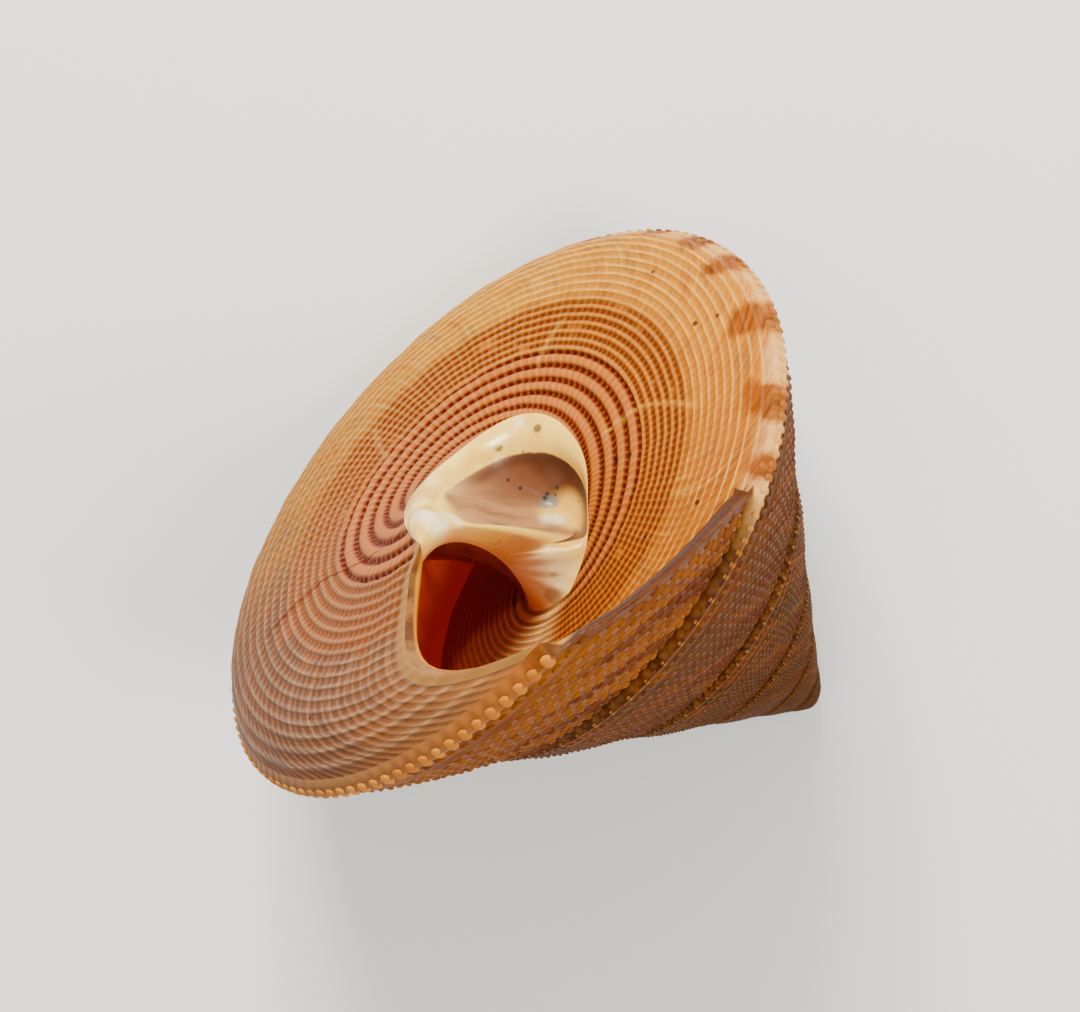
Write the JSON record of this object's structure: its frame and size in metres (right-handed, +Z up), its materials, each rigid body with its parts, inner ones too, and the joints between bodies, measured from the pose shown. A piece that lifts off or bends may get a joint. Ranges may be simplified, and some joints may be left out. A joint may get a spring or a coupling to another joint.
{
  "type": "top shell",
  "caption": "Conical coiled seashell with a broad flat base, an open mouth and a smooth funnel at its centre, lying on its side.",
  "frame": {"origin": "bottom centre of the shell's box, on the surface it rests on", "axes": "+X along the broad base's longest chord, +Z up; the base faces +Y and up, and the apex points to -Y and down"},
  "size_m": [0.043, 0.0368, 0.0421],
  "materials": {
    "shell": "satin, beige with orange-brown cords and a cream callus"
  },
  "bodies": {
    "root": {"shell": "shell"}
  },
  "joints": []
}
